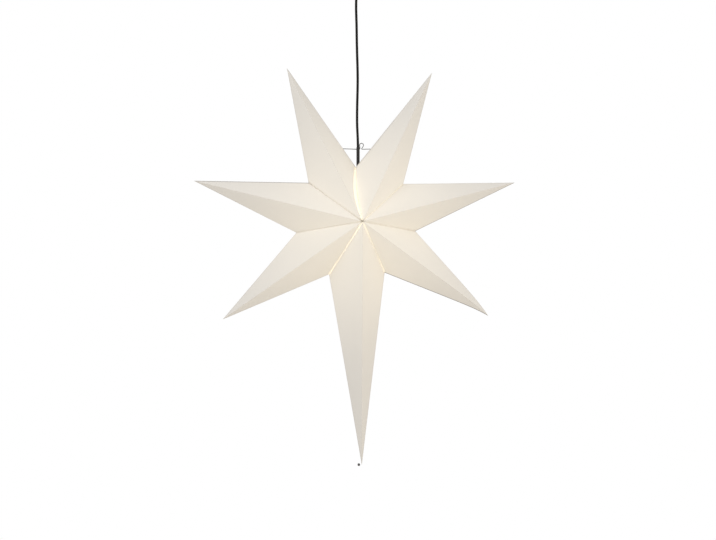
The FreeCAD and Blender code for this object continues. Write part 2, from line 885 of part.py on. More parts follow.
def make_canopy():
    radius = size.canopy_radius
    flat = size.canopy_flat_radius
    wall = size.canopy_wall
    dome = radius - flat
    hole = size.gland_stem_radius + size.joint_play
    body = turned("canopy_turned", [
        (radius - wall, 0.0),
        (radius, 0.0),
        (radius, -size.canopy_skirt),
        (flat, -size.canopy_skirt - dome, dome, 1),
        (hole, -size.canopy_skirt - dome),
        (hole, -size.canopy_skirt - dome + wall),
        (flat, -size.canopy_skirt - dome + wall),
        (radius - wall, -size.canopy_skirt, dome - wall, -1),
    ])
    holes = []
    screws = []
    for side in (-1, 1):
        name = f"canopy_screw_{side + 1}"
        out = Vector(side, 0, 0)
        inner_end = bracket_half() - 4
        holes.append(rod(name + "_hole", size.side_screw_radius + size.cord_play, 8.0,
                         x=(radius - 5) * side, z=-size.side_screw_drop, along=out))
        shank = rod(name + "_shank", size.side_screw_radius, radius + 0.6 - inner_end,
                    x=inner_end * side, z=-size.side_screw_drop, along=out)
        head = rod(name + "_head", size.side_screw_radius * 2, 1.8,
                   x=(radius + 0.1) * side, z=-size.side_screw_drop, along=out)
        screws.append(fused(name, [shank, head]))
    keep("ceiling_canopy", cut("canopy_cut", body, fused("canopy_holes", holes)))
    pair = document.addObject("Part::Compound", "canopy_screw_pair")
    pair.Links = screws
    keep("canopy_screws", pair)


def bracket_half():
    """Half the bracket's length, to the outer faces of its tabs."""
    return size.canopy_radius - size.canopy_wall - size.bracket_play


def make_bracket():
    """The ceiling strap with its turned-down tabs, two slots and tapped holes."""
    half = bracket_half()
    thick = size.bracket_thickness
    tab = size.bracket_tab
    body = padded("bracket_strap", [
        (-half, 0.0),
        (half, 0.0),
        (half, -tab),
        (half - thick, -tab),
        (half - thick, -thick),
        (-half + thick, -thick),
        (-half + thick, -tab),
        (-half, -tab),
    ], size.bracket_width)
    tools = [
        rod("bracket_bolt_hole", size.side_screw_radius + size.grip_play, 4.0, z=-3.0),
        rod("bracket_side_holes", size.side_screw_radius + size.grip_play, half * 2 + 2,
            x=-half - 1, z=-size.side_screw_drop, along=Vector(1, 0, 0)),
    ]
    for side in (-1, 1):
        middle = size.slot_spacing * (0.5 * side)
        straight = size.slot_length - size.slot_width
        tools.append(block(f"slot_{side + 1}", straight, size.slot_width, 4.0, x=middle, z=-3.0))
        for end in (-1, 1):
            tools.append(rod(f"slot_end_{side + 1}_{end + 1}", size.slot_width / 2, 4.0,
                             x=middle + straight * (0.5 * end), z=-3.0))
    keep("ceiling_bracket", cut("bracket_cut", body, fused("bracket_holes", tools)))


def make_gland():
    """The cord gland under the canopy with its washer, nut and grip screw."""
    seat = canopy_floor()
    washer = size.washer_thickness
    collar = size.gland_collar
    bore = size.cord_diameter / 2 + size.cord_play
    outer = size.gland_radius
    nose = washer + collar + size.gland_nose_length
    body = turned("gland_turned", [
        (bore, size.gland_stem_length),
        (bore, -nose + size.flare_length),
        (size.gland_flare, -nose),
        (size.gland_nose_radius, -nose),
        (outer, -washer - collar),
        (outer, -washer),
        (size.gland_stem_radius, -washer),
        (size.gland_stem_radius, size.gland_stem_length),
    ], z=seat)
    height = seat - washer - collar / 2
    hole = rod("gland_screw_hole", size.grip_screw_radius + size.grip_play, outer + 2,
               z=height, along=Vector(1, 0, 0))
    keep("cord_gland", cut("gland_cut", body, hole))
    grip_screw("gland_grip_screw", outer + 1.5, height)
    ring = rod("washer_disc", outer, washer, z=seat - washer)
    hollow = rod("washer_bore", size.gland_stem_radius + size.joint_play, washer + 2,
                 z=seat - washer - 1)
    keep("gland_washer", cut("washer", ring, hollow))
    prism = document.addObject("Part::Prism", "nut_prism")
    prism.Polygon = 6
    bind(prism, Circumradius=size.nut_flats / math.sqrt(3), Height=size.nut_thickness,
         z=seat + size.canopy_wall)
    thread = rod("nut_thread", size.gland_stem_radius + size.grip_play, size.nut_thickness + 2,
                 z=seat + size.canopy_wall - 1)
    keep("gland_nut", cut("nut", prism, thread))


def make_cord_end():
    """The cord's clamped end inside the gland, and its cores to the terminal block."""
    bottom = pivot_height() + size.cord_diameter / 2 + size.cord_play
    top = canopy_floor() + size.gland_stem_length - 4
    keep("cord_clamped_end", rod("cord_end", size.cord_diameter / 2, top - bottom, z=bottom))
    radius = size.core_diameter.number / 2
    half = size.core_spacing.number / 2
    start = top.number
    pole = size.pole_spacing.number / 2
    face = size.block_depth.number / 2
    height = tube_height().number
    for side, label in ((-1, "ceiling_neutral_core"), (1, "ceiling_live_core")):
        points = [
            Vector(side * half, 0, start),
            Vector(side * half, 0, start + 10),
            Vector(side * pole, -face - 9, start + 20),
            Vector(side * pole, -face - 9, height),
            Vector(side * pole, -face + 5, height),
        ]
        keep(label, solid("core", tube(rounded_path(points, [5, 5, 4]), radius * 0.9)))


def tube_height():
    """Height of the terminal tubes' axes."""
    return -size.bracket_thickness - size.block_height / 2


def make_terminal_block():
    """The two-pole block under the bracket, its tubes, clamp screws and bolt."""
    top = -size.bracket_thickness
    height = size.block_height
    deep = size.block_depth
    parts = [block("block_body", size.block_width, deep, height, z=top - height)]
    holes = [rod("block_bolt_hole", size.side_screw_radius + size.joint_play, height + 2,
                 z=top - height - 1)]
    tubes = []
    screws = []
    for side in (-1, 1):
        pole = size.pole_spacing * (0.5 * side)
        name = f"pole_{side + 1}"
        holes.append(rod(name + "_bore", size.tube_radius + size.grip_play, deep + 2, x=pole,
                         y=-deep / 2 - 1, z=tube_height(), along=Vector(0, 1, 0)))
        outside = rod(name + "_tube", size.tube_radius, deep - 1, x=pole, y=-deep / 2 + 0.5,
                      z=tube_height(), along=Vector(0, 1, 0))
        inside = rod(name + "_tube_bore", size.tube_bore, deep + 1, x=pole, y=-deep / 2 - 0.5,
                     z=tube_height(), along=Vector(0, 1, 0))
        tubes.append(cut(name + "_sleeve", outside, inside))
        for end in (-1, 1):
            place = deep * (0.26 * end)
            label = f"{name}_clamp_{end + 1}"
            parts.append(rod(label + "_tower", size.tower_radius, size.tower_height + 1, x=pole,
                             y=place, z=top - height - size.tower_height))
            reach = size.tower_height + height / 2 - size.tube_radius
            holes.append(rod(label + "_hole", size.clamp_screw_radius + size.grip_play, reach + 1,
                             x=pole, y=place, z=top - height - size.tower_height - 1))
            screws.append(rod(label + "_screw", size.clamp_screw_radius, reach - 1.2, x=pole,
                              y=place, z=top - height - size.tower_height + 1))
    body = fused("terminal_body", parts)
    keep("terminal_block", cut("terminal_cut", body, fused("terminal_holes", holes)))
    for label, group in (("terminal_tubes", tubes), ("terminal_clamp_screws", screws)):
        group_object = document.addObject("Part::Compound", label + "_group")
        group_object.Links = group
        keep(label, group_object)
    shank = rod("bolt_shank", size.side_screw_radius, height + size.bracket_thickness - 0.1,
                z=top - height)
    head = rod("bolt_head", size.side_screw_radius * 1.9, 2.0, z=top - height - 2.1)
    link = rod("bolt_neck", size.side_screw_radius, 0.4, z=top - height - 0.2)
    keep("terminal_bolt", fused("bolt", [shank, head, link]))


# ---------------------------------------------------------------- build and export


def check_and_export():
    """Stop at a failed object, then write each sub-part to its own file."""
    document.recompute()
    for item in document.Objects:
        if "Invalid" in item.State or "Error" in item.State:
            raise RuntimeError(f"{item.Label} failed: {item.State}")
    os.makedirs("parts", exist_ok=True)
    for label, item in nodes.items():
        shape = item.Shape
        if shape.isNull() or not shape.isValid() or shape.Volume <= 0:
            raise RuntimeError(f"{label} has no valid solid")
        shape.exportStep(f"parts/{label}.step")
    print(len(nodes), "sub-parts written")


make_star()
make_bead()
make_hanger()
make_clip()
make_cord()
make_cord_lead()
make_holder_cap()
make_holder_skirt()
make_holder_insert()
make_holder_contacts()
make_bulb()
make_canopy()
make_bracket()
make_gland()
make_cord_end()
make_terminal_block()
check_and_export()
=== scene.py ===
"""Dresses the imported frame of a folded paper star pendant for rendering.

Metres, +Z up, the star faces -Y. The card is built by Geometry Nodes from the corners of
each folded point; the cord is one spline; the fittings keep their CAD meshes and get
procedural finishes.
"""

import logging
import math
from dataclasses import dataclass
from enum import Enum
from typing import Any, Sequence

import bpy
from mathutils import Matrix, Vector

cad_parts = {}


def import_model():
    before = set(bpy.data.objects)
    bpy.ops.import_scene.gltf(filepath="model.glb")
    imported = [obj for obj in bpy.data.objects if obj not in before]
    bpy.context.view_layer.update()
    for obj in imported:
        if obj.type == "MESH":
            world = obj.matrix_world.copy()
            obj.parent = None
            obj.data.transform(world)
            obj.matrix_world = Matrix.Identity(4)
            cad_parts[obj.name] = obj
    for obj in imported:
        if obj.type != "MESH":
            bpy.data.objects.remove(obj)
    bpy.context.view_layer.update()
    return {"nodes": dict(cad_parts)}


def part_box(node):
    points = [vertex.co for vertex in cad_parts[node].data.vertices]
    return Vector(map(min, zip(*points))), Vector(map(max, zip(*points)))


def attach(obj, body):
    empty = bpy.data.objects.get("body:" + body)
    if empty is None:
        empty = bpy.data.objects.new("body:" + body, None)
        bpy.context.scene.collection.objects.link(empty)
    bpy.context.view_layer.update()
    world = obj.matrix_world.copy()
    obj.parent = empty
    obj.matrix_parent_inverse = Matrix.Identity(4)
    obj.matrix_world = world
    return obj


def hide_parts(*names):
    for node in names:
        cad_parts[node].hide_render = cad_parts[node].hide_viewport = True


LOG = logging.getLogger("paper_star")
Colour = tuple[float, float, float]
Place = tuple[float, float, float]

STAR_CENTRE: Place = (0.0, 0.0, -0.540)
FRONT_PEAK: Place = (0.0, -0.08, -0.54)
LAMP_MIDDLE: Place = (0.0, 0.0, -0.56)
CARD_FOLD_ANGLE = 12.0
WAVE_SIZE = 0.0022
WAVES_PER_METRE = 9.0


class Body(str, Enum):
    """The rigid bodies of the frame."""

    CEILING = "ceiling_fitting"
    CORD = "hanging_cord"
    HOLDER = "lamp_holder"
    STAR = "paper_star"
    BULB = "bulb"


# ------------------------------------------------------------------ node trees


class Graph:
    """A node tree while it is being wired."""

    def __init__(self, tree: bpy.types.NodeTree) -> None:
        """Keep the tree.

        Args:
            tree: a shader or geometry node tree.
        """
        self.tree = tree

    def add(self, kind: str, inputs: dict[Any, Any] | None = None, **settings: Any) -> bpy.types.Node:
        """Add a node, set it and feed its inputs.

        Args:
            kind: the node's type name.
            inputs: input name or number, to a value or another node's socket.
            settings: properties of the node.

        Returns:
            The new node.
        """
        node = self.tree.nodes.new(kind)
        for name, value in settings.items():
            setattr(node, name, value)
        for key, value in (inputs or {}).items():
            self.feed(node.inputs[key], value)
        return node

    def feed(self, socket: bpy.types.NodeSocket, value: Any) -> None:
        """Link a socket to another, or set its value.

        Args:
            socket: the input.
            value: a socket, or a plain value.
        """
        if isinstance(value, bpy.types.NodeSocket):
            self.tree.links.new(value, socket)
        else:
            socket.default_value = value

    def scalar(self, operation: str, a: Any, b: Any = 0.0, clamp: bool = False) -> bpy.types.NodeSocket:
        """Do sums on numbers.

        Args:
            operation: the Math node's operation.
            a: first number or socket.
            b: second number or socket.
            clamp: keep the result between 0 and 1.

        Returns:
            The result's socket.
        """
        node = self.add("ShaderNodeMath", {0: a, 1: b}, operation=operation, use_clamp=clamp)
        return node.outputs[0]

    def vector(self, operation: str, a: Any, b: Any = (0.0, 0.0, 0.0)) -> bpy.types.NodeSocket:
        """Do sums on vectors.

        Args:
            operation: the Vector Math node's operation.
            a: first vector or socket.
            b: second vector or socket.

        Returns:
            The result's socket, a number for DOT_PRODUCT, DISTANCE and LENGTH.
        """
        node = self.add("ShaderNodeVectorMath", {0: a, 1: b}, operation=operation)
        return node.outputs[1 if operation in ("DOT_PRODUCT", "DISTANCE", "LENGTH") else 0]

    def scale(self, a: Any, factor: Any) -> bpy.types.NodeSocket:
        """Multiply a vector by a number.

        Args:
            a: vector or socket.
            factor: number or socket.

        Returns:
            The result's socket.
        """
        node = self.add("ShaderNodeVectorMath", {0: a, "Scale": factor}, operation="SCALE")
        return node.outputs[0]

    def between(self, a: Any, b: Any, share: Any) -> bpy.types.NodeSocket:
        """Go from one vector to another.

        Args:
            a: start.
            b: end.
            share: 0 at the start and 1 at the end.

        Returns:
            The vector in between.
        """
        return self.vector("ADD", a, self.scale(self.vector("SUBTRACT", b, a), share))

    def line_gap(self, place: Any, start: Any, end: Any) -> bpy.types.NodeSocket:
        """Measure how far a place is from a line.

        Args:
            place: the place.
            start: a point on the line.
            end: another point on the line.

        Returns:
            The distance's socket.
        """
        along = self.vector("NORMALIZE", self.vector("SUBTRACT", end, start))
        away = self.vector("CROSS_PRODUCT", self.vector("SUBTRACT", place, start), along)
        return self.vector("LENGTH", away)

    def fade(self, value: Any, start: float, end: float, low: float = 1.0,
             high: float = 0.0) -> bpy.types.NodeSocket:
        """Run smoothly from one number to another as a value grows.

        Args:
            value: the value's socket.
            start: value where the change begins.
            end: value where it ends.
            low: result up to start.
            high: result from end on.

        Returns:
            The result's socket.
        """
        ends = {"Value": value, "From Min": start, "From Max": end, "To Min": low, "To Max": high}
        return self.add("ShaderNodeMapRange", ends, interpolation_type="SMOOTHSTEP").outputs["Result"]

    def mix(self, factor: Any, a: Any, b: Any, blend: str = "MIX") -> bpy.types.NodeSocket:
        """Mix two colours.

        Args:
            factor: how much of the second.
            a: first colour, as three numbers or a socket.
            b: second colour.
            blend: the blending mode.

        Returns:
            The colour's socket.
        """
        a, b = ((*c, 1.0) if isinstance(c, tuple) and len(c) == 3 else c for c in (a, b))
        node = self.add("ShaderNodeMix", {0: factor, 6: a, 7: b}, data_type="RGBA", blend_type=blend)
        return node.outputs[2]


def new_group(name: str, kind: str, inputs: dict[str, Any],
              outputs: dict[str, str]) -> tuple[Graph, Any, Any]:
    """Start a node group with named sockets.

    Args:
        name: the group's name.
        kind: "ShaderNodeTree" or "GeometryNodeTree".
        inputs: name to default value; its type gives the socket's type.
        outputs: name to socket type.

    Returns:
        The graph, the group's input sockets and its output node.
    """
    tree = bpy.data.node_groups.new(name, kind)
    for label, value in inputs.items():
        made = tree.interface.new_socket(name=label, in_out="INPUT", socket_type=socket_type(value))
        if not isinstance(value, str):
            made.default_value = value
    for label, shape in outputs.items():
        tree.interface.new_socket(name=label, in_out="OUTPUT", socket_type=shape)
    graph = Graph(tree)
    return graph, graph.add("NodeGroupInput").outputs, graph.add("NodeGroupOutput")


def socket_type(value: Any) -> str:
    """Give the socket type that holds a default value.

    Args:
        value: a number, whole number, three or four numbers, or the type's own name.

    Returns:
        The socket type's name.
    """
    if isinstance(value, str):
        return value
    if isinstance(value, int):
        return "NodeSocketInt"
    if isinstance(value, float):
        return "NodeSocketFloat"
    return "NodeSocketVector" if len(value) == 3 else "NodeSocketColor"


def use_group(graph: Graph, tree: bpy.types.NodeTree, inputs: dict[str, Any]) -> bpy.types.Node:
    """Place a node group in a tree.

    Args:
        graph: the tree that uses it.
        tree: the group.
        inputs: values or sockets by name.

    Returns:
        The group's node.
    """
    kind = "GeometryNodeGroup" if graph.tree.type == "GEOMETRY" else "ShaderNodeGroup"
    node = graph.tree.nodes.new(kind)
    node.node_tree = tree
    for label, value in inputs.items():
        graph.feed(node.inputs[label], value)
    return node


# ------------------------------------------------------------------ shared effects


def grain_group() -> bpy.types.NodeTree:
    """Build the fine, uneven grain that every finish uses.

    Returns:
        A group that puts out a mask around 0.5 and a height.
    """
    graph, given, out = new_group(
        "surface_grain", "ShaderNodeTree",
        {"Fine Scale": 900.0, "Broad Scale": 30.0, "Broad Share": 0.5},
        {"Mask": "NodeSocketFloat", "Height": "NodeSocketFloat"})
    place = graph.add("ShaderNodeTexCoord").outputs["Object"]
    fine = graph.add("ShaderNodeTexNoise", {"Vector": place, "Scale": given["Fine Scale"], "Detail": 3.0})
    broad = graph.add("ShaderNodeTexNoise", {"Vector": place, "Scale": given["Broad Scale"], "Detail": 4.0})
    fine_share = graph.scalar("SUBTRACT", 1.0, given["Broad Share"])
    fine_part = graph.scalar("MULTIPLY", fine.outputs["Fac"], fine_share)
    broad_part = graph.scalar("MULTIPLY", broad.outputs["Fac"], given["Broad Share"])
    graph.feed(out.inputs["Mask"], graph.scalar("ADD", fine_part, broad_part))
    graph.feed(out.inputs["Height"], fine.outputs["Fac"])
    return graph.tree


def glow_group() -> bpy.types.NodeTree:
    """Build the painted glow that stands for the bulb's light through the card, strongest near the middle.

    Returns:
        A group that puts out the glow's colour.
    """
    graph, given, out = new_group(
        "lamp_glow", "ShaderNodeTree",
        {"Lamp": LAMP_MIDDLE, "Near": 0.04, "Far": 0.3, "Warm Near": (1.0, 0.9, 0.7, 1.0),
         "Warm Far": (1.0, 0.7, 0.4, 1.0)},
        {"Glow": "NodeSocketColor"})
    place = graph.add("ShaderNodeTexCoord").outputs["Object"]
    gap = graph.vector("DISTANCE", place, given["Lamp"])
    ends = {"Value": gap, "From Min": given["Near"], "From Max": given["Far"], "To Min": 1.0, "To Max": 0.0}
    share = graph.add("ShaderNodeMapRange", ends, interpolation_type="SMOOTHSTEP").outputs["Result"]
    graph.feed(out.inputs["Glow"], graph.mix(share, given["Warm Far"], given["Warm Near"]))
    return graph.tree


# ------------------------------------------------------------------ finishes


def new_material(name: str) -> tuple[bpy.types.Material, Graph, bpy.types.Node]:
    """Start a material with its Principled shader.

    Args:
        name: the material's name.

    Returns:
        The material, its graph and the shader node.
    """
    material = bpy.data.materials.new(name)
    material.use_nodes = True
    return material, Graph(material.node_tree), material.node_tree.nodes["Principled BSDF"]


@dataclass(frozen=True)
class CardFinish:
    """White card: grain, painted shade along its fold edges, ridges and front peak, and the bulb's warm light
    and the glowing glued seams painted on as glow.
    """

    name: str
    colour: Colour
    painted_fold_shade: Colour
    near_glow: Colour
    far_glow: Colour
    seam_glow: Colour
    glow_reach: float = 0.33

    def build(self, grain: bpy.types.NodeTree, glow: bpy.types.NodeTree) -> bpy.types.Material:
        """Build the material.

        Args:
            grain: the shared grain group.
            glow: the shared glow group.

        Returns:
            The card's material.
        """
        material, graph, shader = new_material(self.name)
        fibre = use_group(graph, grain, {"Fine Scale": 1400.0, "Broad Scale": 9.0, "Broad Share": 0.65})
        side_gap = graph.add("ShaderNodeAttribute", attribute_name="side_gap").outputs["Fac"]
        ridge_gap = graph.add("ShaderNodeAttribute", attribute_name="ridge_gap").outputs["Fac"]
        valley_gap = graph.add("ShaderNodeAttribute", attribute_name="valley_gap").outputs["Fac"]
        edge_shade = graph.add("ShaderNodeAttribute", attribute_name="edge_shade").outputs["Fac"]
        seam_light = graph.add("ShaderNodeAttribute", attribute_name="seam_light").outputs["Fac"]
        place = graph.add("ShaderNodeTexCoord").outputs["Object"]
        peak_gap = graph.vector("DISTANCE", place, FRONT_PEAK)
        paler = tuple(min(1.0, part * 1.03) for part in self.colour)
        base = graph.mix(fibre.outputs["Mask"], paler, tuple(part * 0.95 for part in self.colour))
        # Painted shade: the card is darkened towards its fold shade colour along the side folds and the
        # ridges, and in a small darker spot at the front peak.
        edge = graph.scalar("MULTIPLY", graph.fade(side_gap, 0.0009, 0.0026), edge_shade)
        ridge_shade = graph.fade(ridge_gap, 0.0002, 0.0010, 0.06, 0.0)
        peak_dark_spot = graph.fade(peak_gap, 0.0012, 0.0036, 0.55, 0.0)
        shade = graph.scalar("MAXIMUM", graph.scalar("MAXIMUM", edge, ridge_shade), peak_dark_spot)
        graph.feed(shader.inputs["Base Color"], graph.mix(shade, base, self.painted_fold_shade))
        # Painted light: the card glows warm by its distance from the bulb and brighter along the glued seams,
        # though only the bulb is a lamp.
        light = use_group(graph, glow, {
            "Far": self.glow_reach, "Warm Near": (*self.near_glow, 1.0), "Warm Far": (*self.far_glow, 1.0)})
        seam = graph.scalar("MULTIPLY", graph.fade(valley_gap, 0.0007, 0.0022), seam_light)
        lit = graph.mix(seam, light.outputs["Glow"], self.seam_glow)
        # The painted glow is dimmed where the painted shade lies.
        dimmed = graph.mix(graph.scalar("MULTIPLY", shade, 0.9), lit, (0.0, 0.0, 0.0))
        graph.feed(shader.inputs["Emission Color"], dimmed)
        shader.inputs["Emission Strength"].default_value = 1.0
        shader.inputs["Roughness"].default_value = 0.82
        shader.inputs["Specular IOR Level"].default_value = 0.25
        bump = graph.add("ShaderNodeBump", {
            "Strength": 0.12, "Distance": 0.0004, "Height": fibre.outputs["Height"]})
        graph.feed(shader.inputs["Normal"], bump.outputs["Normal"])
        return material


@dataclass(frozen=True)
class SolidFinish:
    """Plastic, rubber or metal: one colour with grain in its tone, gloss and surface."""

    name: str
    colour: Colour
    worn_colour: Colour
    roughness: float
    metallic: float = 0.0
    coat: float = 0.0
    specular: float = 0.5
    fine_scale: float = 900.0
    broad_scale: float = 40.0
    bump: float = 0.15
    glow: Colour = (0.0, 0.0, 0.0)
    glow_strength: float = 0.0

    def build(self, grain: bpy.types.NodeTree) -> bpy.types.Material:
        """Build the material.

        Args:
            grain: the shared grain group.

        Returns:
            The finish's material.
        """
        material, graph, shader = new_material(self.name)
        spots = use_group(graph, grain, {"Fine Scale": self.fine_scale, "Broad Scale": self.broad_scale})
        mask = graph.fade(spots.outputs["Mask"], 0.35, 0.68, 0.0, 1.0)
        graph.feed(shader.inputs["Base Color"], graph.mix(mask, self.colour, self.worn_colour))
        spread = graph.scalar("MULTIPLY_ADD", mask, 0.12)
        spread.node.inputs[2].default_value = self.roughness - 0.06
        graph.feed(shader.inputs["Roughness"], spread)
        shader.inputs["Metallic"].default_value = self.metallic
        shader.inputs["Specular IOR Level"].default_value = self.specular
        shader.inputs["Coat Weight"].default_value = self.coat
        shader.inputs["Coat Roughness"].default_value = 0.15
        if self.glow_strength:
            shader.inputs["Emission Color"].default_value = (*self.glow, 1.0)
            shader.inputs["Emission Strength"].default_value = self.glow_strength
        bump = graph.add("ShaderNodeBump", {
            "Strength": self.bump, "Distance": 0.0002, "Height": spots.outputs["Height"]})
        graph.feed(shader.inputs["Normal"], bump.outputs["Normal"])
        return material


@dataclass(frozen=True)
class GlassFinish:
    """Clear lamp glass."""

    name: str
    colour: Colour

    def build(self, grain: bpy.types.NodeTree) -> bpy.types.Material:
        """Build the material.

        Args:
            grain: the shared grain group.

        Returns:
            The glass material.
        """
        material, graph, shader = new_material(self.name)
        spots = use_group(graph, grain, {"Fine Scale": 60.0, "Broad Scale": 12.0})
        tone = graph.mix(spots.outputs["Mask"], self.colour, tuple(part * 0.94 for part in self.colour))
        graph.feed(shader.inputs["Base Color"], tone)
        graph.feed(shader.inputs["Roughness"], graph.scalar("MULTIPLY", spots.outputs["Mask"], 0.05))
        shader.inputs["Transmission Weight"].default_value = 1.0
        shader.inputs["IOR"].default_value = 1.46
        return material


CARD = CardFinish(
    name="white_card", colour=(0.80, 0.785, 0.755), painted_fold_shade=(0.34, 0.32, 0.30),
    near_glow=(0.17, 0.14, 0.095), far_glow=(0.03, 0.018, 0.008), seam_glow=(0.52, 0.44, 0.30))
# The inside of the card gets a stronger painted glow and a paler painted fold shade.
CARD_INSIDE = CardFinish(
    name="lit_inside_of_card", colour=(0.80, 0.78, 0.74), painted_fold_shade=(0.6, 0.56, 0.5),
    near_glow=(0.52, 0.48, 0.40), far_glow=(0.20, 0.16, 0.11), seam_glow=(0.60, 0.56, 0.46), glow_reach=0.4)
FINISHES: dict[str, SolidFinish] = {
    "sheath": SolidFinish("cord_sheath", (0.004, 0.0035, 0.003), (0.009, 0.008, 0.0065), 0.62,
                          specular=0.12, bump=0.3),
    "black": SolidFinish("black_moulding", (0.010, 0.009, 0.008), (0.018, 0.017, 0.016), 0.5, specular=0.25),
    "thermoset": SolidFinish("dark_thermoset", (0.03, 0.028, 0.026), (0.05, 0.047, 0.043), 0.5),
    "nylon": SolidFinish("natural_nylon", (0.72, 0.70, 0.64), (0.60, 0.58, 0.52), 0.45),
    "zinc": SolidFinish("zinc_plate", (0.62, 0.63, 0.64), (0.46, 0.47, 0.48), 0.34, metallic=1.0),
    "wire": SolidFinish("drawn_wire", (0.24, 0.24, 0.235), (0.16, 0.16, 0.155), 0.42, metallic=1.0),
    "brass": SolidFinish("plain_brass", (0.72, 0.54, 0.24), (0.55, 0.40, 0.17), 0.32, metallic=1.0),
    "nickel": SolidFinish("nickel_plate", (0.66, 0.64, 0.60), (0.50, 0.49, 0.46), 0.28, metallic=1.0),
    "brown": SolidFinish("brown_insulation", (0.14, 0.05, 0.02), (0.18, 0.07, 0.03), 0.42),
    "blue": SolidFinish("blue_insulation", (0.02, 0.08, 0.32), (0.03, 0.11, 0.38), 0.42),
    "bead": SolidFinish("dark_bead", (0.045, 0.043, 0.042), (0.075, 0.072, 0.07), 0.38, coat=0.3),
    "phosphor": SolidFinish("warm_phosphor", (0.85, 0.62, 0.22), (0.9, 0.7, 0.3), 0.5,
                            glow=(1.0, 0.72, 0.36), glow_strength=3.0),
}
GLASS = GlassFinish("lamp_glass", (0.98, 0.97, 0.94))

CAD_FINISHES: dict[str, tuple[str, ...]] = {
    "black": ("ceiling_canopy", "cord_gland", "gland_nut", "gland_washer", "cord_clip", "holder_cap",
              "holder_skirt"),
    "sheath": ("cord_clamped_end", "cord_lead"),
    "nylon": ("gland_grip_screw", "holder_grip_screw", "terminal_block"),
    "brown": ("ceiling_live_core", "holder_live_core"),
    "blue": ("ceiling_neutral_core", "holder_neutral_core"),
    "zinc": ("ceiling_bracket", "canopy_screws", "terminal_bolt", "terminal_clamp_screws",
             "holder_terminal_screws"),
    "wire": ("hanger_wire",),
    "brass": ("terminal_tubes", "holder_screw_sleeve", "holder_centre_contact"),
    "thermoset": ("holder_insert", "bulb_insulator"),
    "nickel": ("bulb_screw_cap", "bulb_contact"),
    "phosphor": ("bulb_filaments",),
    "bead": ("tip_bead",),
}


@dataclass
class Palette:
    """Every material, built once."""

    solid: dict[str, bpy.types.Material]
    card: bpy.types.Material
    card_inside: bpy.types.Material
    glass: bpy.types.Material

    @classmethod
    def build(cls) -> "Palette":
        """Build the shared groups and all the finishes.

        Returns:
            The palette.
        """
        grain, glow = grain_group(), glow_group()
        solid = {key: finish.build(grain) for key, finish in FINISHES.items()}
        return cls(solid, CARD.build(grain, glow), CARD_INSIDE.build(grain, glow), GLASS.build(grain))


# ------------------------------------------------------------------ pieces


def link_object(name: str, data: bpy.types.ID) -> bpy.types.Object:
    """Put new data into the scene as an object at the origin.

    Args:
        name: the piece's name.
        data: a mesh, curve, light or camera.

    Returns:
        The object.
    """
    thing = bpy.data.objects.new(name, data)
    bpy.context.scene.collection.objects.link(thing)
    return thing


def grown_mesh(name: str, tree: bpy.types.NodeTree, values: dict[str, Any]) -> bpy.types.Object:
    """Run a geometry tree and keep its result as a plain mesh.

    Args:
        name: the piece's name.
        tree: the geometry node tree.
        values: the tree's inputs by name.

    Returns:
        An object with the mesh and no modifier.
    """
    seed = link_object(name, bpy.data.meshes.new(name))
    modifier = seed.modifiers.new("build", "NODES")
    modifier.node_group = tree
    for item in tree.interface.items_tree:
        if item.item_type == "SOCKET" and item.in_out == "INPUT" and item.name in values:
            modifier[item.identifier] = values[item.name]
    result = seed.evaluated_get(bpy.context.evaluated_depsgraph_get())
    mesh = bpy.data.meshes.new_from_object(result)
    seed.modifiers.remove(modifier)
    seed.data = mesh
    mesh.name = name
    return seed


def smooth_by_angle(thing: bpy.types.Object, degrees: float) -> None:
    """Shade a mesh smooth, but for its folds.

    Args:
        thing: the mesh object.
        degrees: edges that turn more than this stay sharp.
    """
    thing.data.polygons.foreach_set("use_smooth", [True] * len(thing.data.polygons))
    thing.data.set_sharp_from_angle(angle=math.radians(degrees))


def store_marks(graph: Graph, mesh: bpy.types.NodeSocket, marks: dict[str, Any]) -> bpy.types.NodeSocket:
    """Keep numbers on a mesh for the card's finish to read.

    Args:
        graph: the geometry tree.
        mesh: the mesh's socket.
        marks: attribute name to a number or socket.

    Returns:
        The socket of the mesh that carries them.
    """
    for label, value in marks.items():
        store = graph.add("GeometryNodeStoreNamedAttribute", {"Geometry": mesh, "Name": label},
                          data_type="FLOAT", domain="POINT")
        graph.feed(store.inputs["Value"], value)
        mesh = store.outputs[0]
    return mesh


